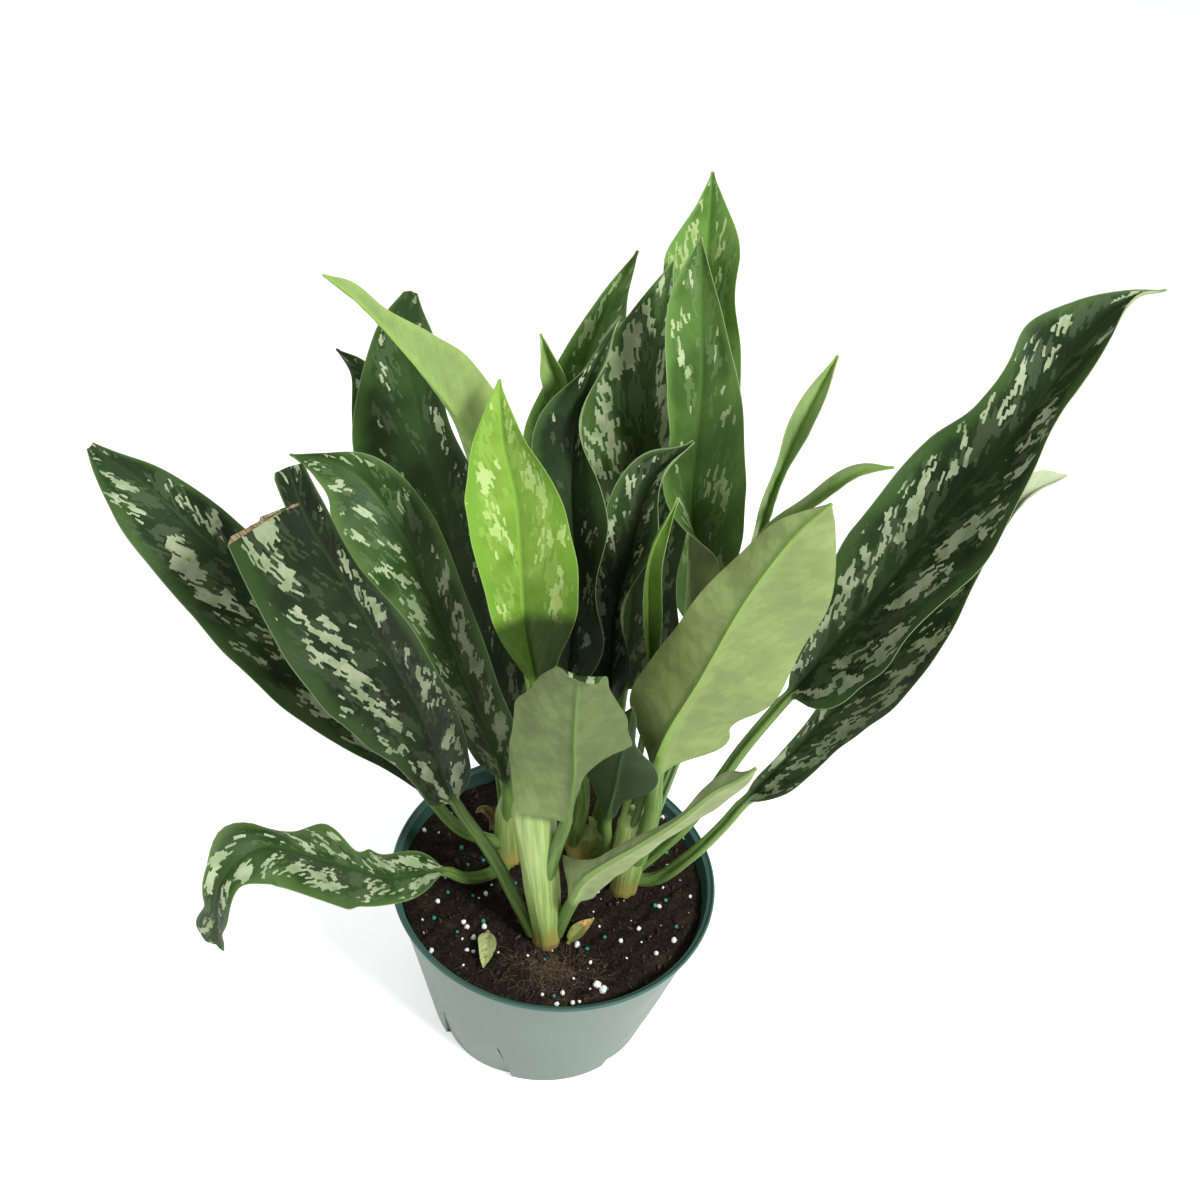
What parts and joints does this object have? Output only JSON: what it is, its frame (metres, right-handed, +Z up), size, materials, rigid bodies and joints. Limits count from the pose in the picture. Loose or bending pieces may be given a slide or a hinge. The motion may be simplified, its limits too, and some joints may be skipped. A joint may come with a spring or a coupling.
{
  "type": "potted chinese evergreen",
  "caption": "Clump of long variegated leaves on pale stalks, rising from soil in a small round green plastic nursery pot.",
  "frame": {"origin": "centre of the pot's flat underside, on the surface it stands on", "axes": "+Z up; -Y is the front, the side with the small folded leaf and the pale leaf seen from below; +X is to the right seen from the front"},
  "size_m": [0.3965, 0.183, 0.4211],
  "materials": {
    "pot": "thin moulded green plastic with a dull shine",
    "soil": "damp dark potting mix with white grains",
    "shoot": "pale green smooth stem tissue, yellowish at the foot",
    "variegated": "satin dark green leaf with pale grey-green feathered blotches",
    "underside": "satin pale green, the underside of a leaf",
    "young": "satin bright yellow-green young leaf with paler flecks",
    "dry_leaf": "dull, faded",
    "dry_sheath": "dull, papery and brown"
  },
  "bodies": {
    "root": {"pot": "pot", "soil": "soil", "shoot_front": "shoot", "shoot_right": "shoot", "shoot_left": "shoot", "shoot_back": "shoot", "leaf_right_long": "variegated", "leaf_right_low": "variegated", "leaf_front_pale": "underside", "leaf_tallest": "variegated", "leaf_tall_rolled": "variegated", "leaf_spear_right": "young", "leaf_narrow_right": "variegated", "leaf_hooked": "variegated", "leaf_wavy": "variegated", "leaf_back_broad": "variegated", "leaf_back_tall": "variegated", "leaf_new_tip": "young", "leaf_spear_centre": "young", "leaf_front_small": "underside", "leaf_young_bright": "young", "leaf_young_swept": "young", "leaf_front_folded": "underside", "leaf_front_curled": "underside", "leaf_left_torn": "variegated", "leaf_left_inner": "variegated", "leaf_left_long": "variegated", "leaf_drooping": "variegated", "leaf_back_left": "variegated", "leaf_rear_left": "variegated", "dry_leaf_bit": "dry_leaf", "dry_sheath": "dry_sheath", "dry_bract": "dry_sheath"}
  },
  "joints": []
}
